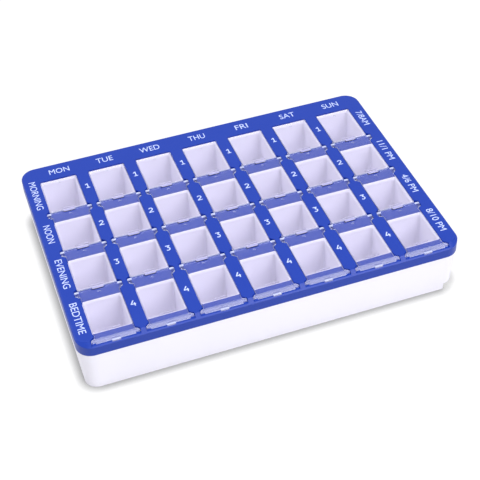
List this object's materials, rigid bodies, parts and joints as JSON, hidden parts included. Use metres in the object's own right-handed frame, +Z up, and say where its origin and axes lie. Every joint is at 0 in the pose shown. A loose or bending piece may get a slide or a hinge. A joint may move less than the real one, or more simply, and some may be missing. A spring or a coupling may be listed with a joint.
{
  "type": "weekly pill organizer",
  "caption": "Flat rectangular pill box with a grid of scooped wells in a tapered tray, a skirted frame over it and a clear hinged lid with a finger tab over each well.",
  "frame": {"origin": "on the resting plane, under the middle of the box", "axes": "+X along the row of days, from Monday on the left to Sunday on the right; +Y to the rear, from the bedtime row to the morning row; +Z up"},
  "size_m": [0.2224, 0.155, 0.035],
  "materials": {
    "white_plastic": "satin moulded polypropylene",
    "blue_plastic": "satin moulded plastic",
    "clear_plastic": "clear polished polystyrene"
  },
  "bodies": {
    "box": {"base_tray": "white_plastic", "top_frame": "blue_plastic"},
    "mon_morning_lid": {"lid_mon_morning": "clear_plastic"},
    "mon_noon_lid": {"lid_mon_noon": "clear_plastic"},
    "mon_evening_lid": {"lid_mon_evening": "clear_plastic"},
    "mon_bedtime_lid": {"lid_mon_bedtime": "clear_plastic"},
    "tue_morning_lid": {"lid_tue_morning": "clear_plastic"},
    "tue_noon_lid": {"lid_tue_noon": "clear_plastic"},
    "tue_evening_lid": {"lid_tue_evening": "clear_plastic"},
    "tue_bedtime_lid": {"lid_tue_bedtime": "clear_plastic"},
    "wed_morning_lid": {"lid_wed_morning": "clear_plastic"},
    "wed_noon_lid": {"lid_wed_noon": "clear_plastic"},
    "wed_evening_lid": {"lid_wed_evening": "clear_plastic"},
    "wed_bedtime_lid": {"lid_wed_bedtime": "clear_plastic"},
    "thu_morning_lid": {"lid_thu_morning": "clear_plastic"},
    "thu_noon_lid": {"lid_thu_noon": "clear_plastic"},
    "thu_evening_lid": {"lid_thu_evening": "clear_plastic"},
    "thu_bedtime_lid": {"lid_thu_bedtime": "clear_plastic"},
    "fri_morning_lid": {"lid_fri_morning": "clear_plastic"},
    "fri_noon_lid": {"lid_fri_noon": "clear_plastic"},
    "fri_evening_lid": {"lid_fri_evening": "clear_plastic"},
    "fri_bedtime_lid": {"lid_fri_bedtime": "clear_plastic"},
    "sat_morning_lid": {"lid_sat_morning": "clear_plastic"},
    "sat_noon_lid": {"lid_sat_noon": "clear_plastic"},
    "sat_evening_lid": {"lid_sat_evening": "clear_plastic"},
    "sat_bedtime_lid": {"lid_sat_bedtime": "clear_plastic"},
    "sun_morning_lid": {"lid_sun_morning": "clear_plastic"},
    "sun_noon_lid": {"lid_sun_noon": "clear_plastic"},
    "sun_evening_lid": {"lid_sun_evening": "clear_plastic"},
    "sun_bedtime_lid": {"lid_sun_bedtime": "clear_plastic"}
  },
  "joints": [
    {"name": "mon_morning_hinge", "type": "hinge", "parent": "box", "child": "mon_morning_lid", "pos_m": [-0.09, 0.0617, 0.0342], "axis": [-1, 0, 0], "range_deg": [0, 95]},
    {"name": "mon_noon_hinge", "type": "hinge", "parent": "box", "child": "mon_noon_lid", "pos_m": [-0.09, 0.032, 0.0342], "axis": [-1, 0, 0], "range_deg": [0, 95]},
    {"name": "mon_evening_hinge", "type": "hinge", "parent": "box", "child": "mon_evening_lid", "pos_m": [-0.09, -0.0024, 0.0342], "axis": [-1, 0, 0], "range_deg": [0, 95]},
    {"name": "mon_bedtime_hinge", "type": "hinge", "parent": "box", "child": "mon_bedtime_lid", "pos_m": [-0.09, -0.0368, 0.0342], "axis": [-1, 0, 0], "range_deg": [0, 95]},
    {"name": "tue_morning_hinge", "type": "hinge", "parent": "box", "child": "tue_morning_lid", "pos_m": [-0.06, 0.0617, 0.0342], "axis": [-1, 0, 0], "range_deg": [0, 95]},
    {"name": "tue_noon_hinge", "type": "hinge", "parent": "box", "child": "tue_noon_lid", "pos_m": [-0.06, 0.032, 0.0342], "axis": [-1, 0, 0], "range_deg": [0, 95]},
    {"name": "tue_evening_hinge", "type": "hinge", "parent": "box", "child": "tue_evening_lid", "pos_m": [-0.06, -0.0024, 0.0342], "axis": [-1, 0, 0], "range_deg": [0, 95]},
    {"name": "tue_bedtime_hinge", "type": "hinge", "parent": "box", "child": "tue_bedtime_lid", "pos_m": [-0.06, -0.0368, 0.0342], "axis": [-1, 0, 0], "range_deg": [0, 95]},
    {"name": "wed_morning_hinge", "type": "hinge", "parent": "box", "child": "wed_morning_lid", "pos_m": [-0.03, 0.0617, 0.0342], "axis": [-1, 0, 0], "range_deg": [0, 95]},
    {"name": "wed_noon_hinge", "type": "hinge", "parent": "box", "child": "wed_noon_lid", "pos_m": [-0.03, 0.032, 0.0342], "axis": [-1, 0, 0], "range_deg": [0, 95]},
    {"name": "wed_evening_hinge", "type": "hinge", "parent": "box", "child": "wed_evening_lid", "pos_m": [-0.03, -0.0024, 0.0342], "axis": [-1, 0, 0], "range_deg": [0, 95]},
    {"name": "wed_bedtime_hinge", "type": "hinge", "parent": "box", "child": "wed_bedtime_lid", "pos_m": [-0.03, -0.0368, 0.0342], "axis": [-1, 0, 0], "range_deg": [0, 95]},
    {"name": "thu_morning_hinge", "type": "hinge", "parent": "box", "child": "thu_morning_lid", "pos_m": [0, 0.0617, 0.0342], "axis": [-1, 0, 0], "range_deg": [0, 95]},
    {"name": "thu_noon_hinge", "type": "hinge", "parent": "box", "child": "thu_noon_lid", "pos_m": [0, 0.032, 0.0342], "axis": [-1, 0, 0], "range_deg": [0, 95]},
    {"name": "thu_evening_hinge", "type": "hinge", "parent": "box", "child": "thu_evening_lid", "pos_m": [0, -0.0024, 0.0342], "axis": [-1, 0, 0], "range_deg": [0, 95]},
    {"name": "thu_bedtime_hinge", "type": "hinge", "parent": "box", "child": "thu_bedtime_lid", "pos_m": [0, -0.0368, 0.0342], "axis": [-1, 0, 0], "range_deg": [0, 95]},
    {"name": "fri_morning_hinge", "type": "hinge", "parent": "box", "child": "fri_morning_lid", "pos_m": [0.03, 0.0617, 0.0342], "axis": [-1, 0, 0], "range_deg": [0, 95]},
    {"name": "fri_noon_hinge", "type": "hinge", "parent": "box", "child": "fri_noon_lid", "pos_m": [0.03, 0.032, 0.0342], "axis": [-1, 0, 0], "range_deg": [0, 95]},
    {"name": "fri_evening_hinge", "type": "hinge", "parent": "box", "child": "fri_evening_lid", "pos_m": [0.03, -0.0024, 0.0342], "axis": [-1, 0, 0], "range_deg": [0, 95]},
    {"name": "fri_bedtime_hinge", "type": "hinge", "parent": "box", "child": "fri_bedtime_lid", "pos_m": [0.03, -0.0368, 0.0342], "axis": [-1, 0, 0], "range_deg": [0, 95]},
    {"name": "sat_morning_hinge", "type": "hinge", "parent": "box", "child": "sat_morning_lid", "pos_m": [0.06, 0.0617, 0.0342], "axis": [-1, 0, 0], "range_deg": [0, 95]},
    {"name": "sat_noon_hinge", "type": "hinge", "parent": "box", "child": "sat_noon_lid", "pos_m": [0.06, 0.032, 0.0342], "axis": [-1, 0, 0], "range_deg": [0, 95]},
    {"name": "sat_evening_hinge", "type": "hinge", "parent": "box", "child": "sat_evening_lid", "pos_m": [0.06, -0.0024, 0.0342], "axis": [-1, 0, 0], "range_deg": [0, 95]},
    {"name": "sat_bedtime_hinge", "type": "hinge", "parent": "box", "child": "sat_bedtime_lid", "pos_m": [0.06, -0.0368, 0.0342], "axis": [-1, 0, 0], "range_deg": [0, 95]},
    {"name": "sun_morning_hinge", "type": "hinge", "parent": "box", "child": "sun_morning_lid", "pos_m": [0.09, 0.0617, 0.0342], "axis": [-1, 0, 0], "range_deg": [0, 95]},
    {"name": "sun_noon_hinge", "type": "hinge", "parent": "box", "child": "sun_noon_lid", "pos_m": [0.09, 0.032, 0.0342], "axis": [-1, 0, 0], "range_deg": [0, 95]},
    {"name": "sun_evening_hinge", "type": "hinge", "parent": "box", "child": "sun_evening_lid", "pos_m": [0.09, -0.0024, 0.0342], "axis": [-1, 0, 0], "range_deg": [0, 95]},
    {"name": "sun_bedtime_hinge", "type": "hinge", "parent": "box", "child": "sun_bedtime_lid", "pos_m": [0.09, -0.0368, 0.0342], "axis": [-1, 0, 0], "range_deg": [0, 95]}
  ]
}
